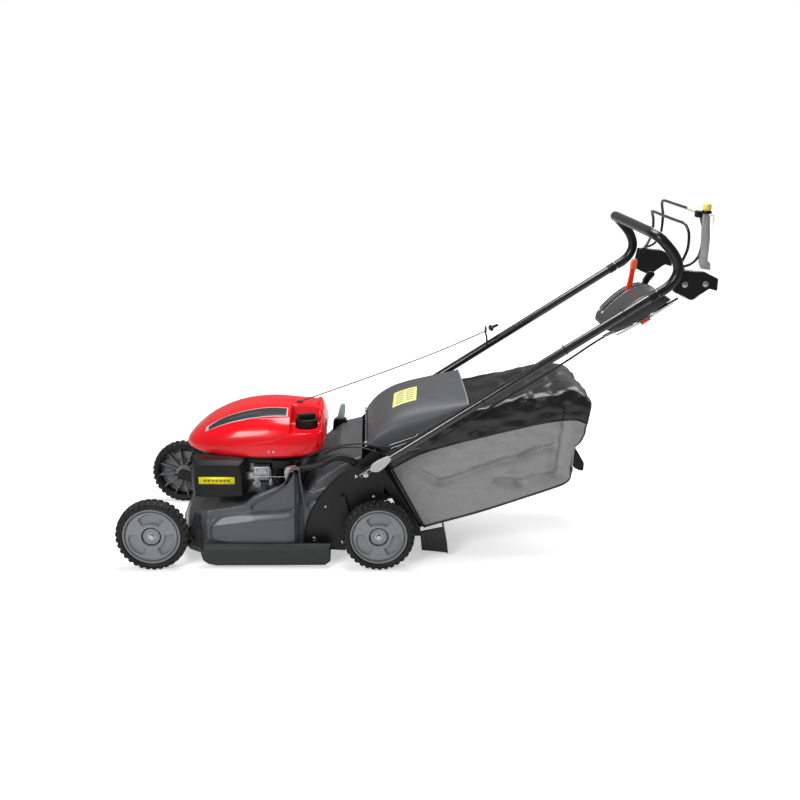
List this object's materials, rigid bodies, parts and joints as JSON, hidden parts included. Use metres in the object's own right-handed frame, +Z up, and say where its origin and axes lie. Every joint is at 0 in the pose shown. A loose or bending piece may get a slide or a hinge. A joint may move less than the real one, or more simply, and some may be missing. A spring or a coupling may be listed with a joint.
{
  "type": "rotary lawn mower",
  "caption": "Self-propelled petrol rotary lawn mower: moulded deck, red engine cover, wheels on height arms, rear hood, cloth grass bag and a folding tube handle.",
  "frame": {"origin": "on the ground, under the middle of the whole machine's length and width", "axes": "+X towards the handle (rear), +Y towards the right side seen by the person pushing, +Z up"},
  "size_m": [1.656, 0.5734, 1.0395],
  "materials": {
    "deck_grey": "satin moulded dark grey",
    "hood_grey": "fine-grained moulded grey",
    "cover_red": "glossy red",
    "black_plastic": "satin black moulding",
    "black_paint": "gloss black powder coat",
    "grip_foam": "smooth black grip",
    "tyre_rubber": "matt black rubber",
    "soft_rubber": "matt black rubber",
    "rim_grey": "satin grey moulding",
    "cast_alloy": "cast, satin",
    "steel": "zinc plated",
    "bag_cloth": "woven grey mesh and black cloth",
    "starter_cord": "braided black cord",
    "orange_plastic": "orange-red moulding",
    "yellow_plastic": "pale yellow moulding",
    "green_plastic": "pale green moulding"
  },
  "bodies": {
    "chassis": {"deck_shell": "deck_grey", "side_skirt_left": "black_plastic", "side_skirt_right": "black_plastic", "side_plate_left": "black_paint", "side_plate_right": "black_paint", "height_quadrant_left": "steel", "height_quadrant_right": "steel", "engine_block": "cast_alloy", "fan_shroud": "black_plastic", "engine_cover": "cover_red", "fuel_tank": "black_plastic", "air_filter_cover": "black_plastic", "carburettor": "cast_alloy", "transmission_case": "cast_alloy", "drive_belt": "soft_rubber", "rear_frame": "black_plastic", "starter_rope": "starter_cord", "lower_cable": "soft_rubber", "carry_tube": "black_paint"},
    "front_left_height_arm": {"front_left_arm": "steel"},
    "front_left_wheel": {"front_left_rim": "rim_grey", "front_left_tyre": "tyre_rubber"},
    "rear_left_height_arm": {"rear_left_arm": "steel"},
    "rear_left_wheel": {"rear_left_rim": "rim_grey", "rear_left_tyre": "tyre_rubber"},
    "front_right_height_arm": {"front_right_arm": "steel"},
    "front_right_wheel": {"front_right_rim": "rim_grey", "front_right_tyre": "tyre_rubber"},
    "rear_right_height_arm": {"rear_right_arm": "steel"},
    "rear_right_wheel": {"rear_right_rim": "rim_grey", "rear_right_tyre": "tyre_rubber"},
    "crank": {"crankshaft": "steel", "flywheel": "cast_alloy", "cutting_blade": "black_paint"},
    "pulley": {"drive_pulley": "steel"},
    "drive": {"drive_shaft": "steel"},
    "hood": {"hood": "hood_grey"},
    "bag": {"bag_cloth": "bag_cloth", "bag_frame": "black_paint", "bag_handle": "black_plastic"},
    "flap": {"rear_flap": "soft_rubber"},
    "filler_cap": {"fuel_cap": "black_plastic"},
    "selector": {"blade_selector": "green_plastic"},
    "handle": {"handle_tube_left": "black_paint", "handle_tube_right": "black_paint", "grip_loop": "grip_foam", "control_bracket_left": "black_plastic", "control_bracket_right": "black_plastic", "control_panel": "black_plastic", "upper_cable": "soft_rubber", "rope_guide": "steel"},
    "blade_control": {"blade_hoop": "black_paint", "cast_lever": "cast_alloy"},
    "button": {"safety_button": "yellow_plastic"},
    "drive_control": {"drive_hoop": "black_paint"},
    "throttle": {"throttle_lever": "orange_plastic"},
    "speed": {"speed_lever": "black_plastic"},
    "latch_left": {"fold_latch_left": "cast_alloy"},
    "latch_right": {"fold_latch_right": "cast_alloy"},
    "pull_grip": {"starter_grip": "soft_rubber"}
  },
  "joints": [
    {"name": "front_left_height", "type": "hinge", "parent": "chassis", "child": "front_left_height_arm", "pos_m": [-0.6315, -0.2292, 0.068], "axis": [0, -1, 0], "range_deg": [0, 38]},
    {"name": "front_left_roll", "type": "hinge", "parent": "front_left_height_arm", "child": "front_left_wheel", "pos_m": [-0.7255, -0.2642, 0.1025], "axis": [0, 1, 0], "continuous": true},
    {"name": "rear_left_height", "type": "hinge", "parent": "chassis", "child": "rear_left_height_arm", "pos_m": [-0.165, -0.2292, 0.11], "axis": [0, 1, 0], "range_deg": [0, 38]},
    {"name": "rear_left_roll", "type": "hinge", "parent": "rear_left_height_arm", "child": "rear_left_wheel", "pos_m": [-0.0855, -0.2642, 0.1025], "axis": [0, 1, 0], "continuous": true},
    {"name": "front_right_height", "type": "hinge", "parent": "chassis", "child": "front_right_height_arm", "pos_m": [-0.6315, 0.2292, 0.068], "axis": [0, -1, 0], "range_deg": [0, 38]},
    {"name": "front_right_roll", "type": "hinge", "parent": "front_right_height_arm", "child": "front_right_wheel", "pos_m": [-0.7255, 0.2642, 0.1025], "axis": [0, 1, 0], "continuous": true},
    {"name": "rear_right_height", "type": "hinge", "parent": "chassis", "child": "rear_right_height_arm", "pos_m": [-0.165, 0.2292, 0.11], "axis": [0, 1, 0], "range_deg": [0, 38]},
    {"name": "rear_right_roll", "type": "hinge", "parent": "rear_right_height_arm", "child": "rear_right_wheel", "pos_m": [-0.0855, 0.2642, 0.1025], "axis": [0, 1, 0], "continuous": true},
    {"name": "crank_spin", "type": "hinge", "parent": "chassis", "child": "crank", "pos_m": [-0.408, 0, 0.062], "axis": [0, 0, 1], "continuous": true},
    {"name": "pulley_spin", "type": "hinge", "parent": "chassis", "child": "pulley", "pos_m": [-0.165, -0.155, 0.15], "axis": [0, 0, 1], "continuous": true},
    {"name": "drive_shaft_spin", "type": "hinge", "parent": "chassis", "child": "drive", "pos_m": [-0.165, 0, 0.11], "axis": [0, 1, 0], "continuous": true},
    {"name": "hood_hinge", "type": "hinge", "parent": "chassis", "child": "hood", "pos_m": [-0.126, 0, 0.346], "axis": [0, -1, 0], "range_deg": [0, 60]},
    {"name": "bag_slide", "type": "slide", "parent": "chassis", "child": "bag", "axis": [0.9397, 0, 0.342], "range_m": [0, 0.5]},
    {"name": "flap_hinge", "type": "hinge", "parent": "chassis", "child": "flap", "pos_m": [0.026, 0, 0.088], "axis": [0, 1, 0], "range_deg": [-5, 0]},
    {"name": "fuel_cap_turn", "type": "hinge", "parent": "chassis", "child": "filler_cap", "pos_m": [-0.298, -0.08, 0.357], "axis": [0, 0, 1], "range_deg": [0, 100]},
    {"name": "selector_tilt", "type": "hinge", "parent": "chassis", "child": "selector", "pos_m": [-0.205, 0.1, 0.336], "axis": [0, 1, 0], "range_deg": [-25, 10]},
    {"name": "handle_fold", "type": "hinge", "parent": "chassis", "child": "handle", "pos_m": [-0.123, 0, 0.285], "axis": [0, -1, 0], "range_deg": [0, 115]},
    {"name": "blade_hoop_swing", "type": "hinge", "parent": "handle", "child": "blade_control", "pos_m": [0.735, 0, 0.85], "axis": [0, -1, 0], "range_deg": [0, 42], "stiffness_Nm_per_rad": 0.8, "springref_deg": -22.92},
    {"name": "button_press", "type": "slide", "parent": "blade_control", "child": "button", "axis": [0, 0, -1], "range_m": [0, 0.006], "stiffness_N_per_m": 300, "springref_m": -0.003},
    {"name": "drive_hoop_swing", "type": "hinge", "parent": "handle", "child": "drive_control", "pos_m": [0.735, 0, 0.85], "axis": [0, -1, 0], "range_deg": [0, 25], "stiffness_Nm_per_rad": 0.6, "springref_deg": -22.92},
    {"name": "throttle_tilt", "type": "hinge", "parent": "handle", "child": "throttle", "pos_m": [0.617, -0.1, 0.755], "axis": [0, 1, 0], "range_deg": [-16, 16]},
    {"name": "speed_tilt", "type": "hinge", "parent": "handle", "child": "speed", "pos_m": [0.664, -0.06, 0.762], "axis": [0, 1, 0], "range_deg": [-16, 10]},
    {"name": "latch_left_turn", "type": "hinge", "parent": "handle", "child": "latch_left", "pos_m": [-0.1, -0.25, 0.307], "axis": [0, -1, 0], "range_deg": [0, 80]},
    {"name": "latch_right_turn", "type": "hinge", "parent": "handle", "child": "latch_right", "pos_m": [-0.1, 0.25, 0.307], "axis": [0, -1, 0], "range_deg": [0, 80]},
    {"name": "starter_pull", "type": "slide", "parent": "handle", "child": "pull_grip", "axis": [0.8353, 0, 0.5498], "range_m": [0, 0.4], "deforming": ["starter_rope"]}
  ],
  "couplings": [
    {"joint": "pulley_spin", "follows": "crank_spin", "ratio": 0.66667}
  ]
}
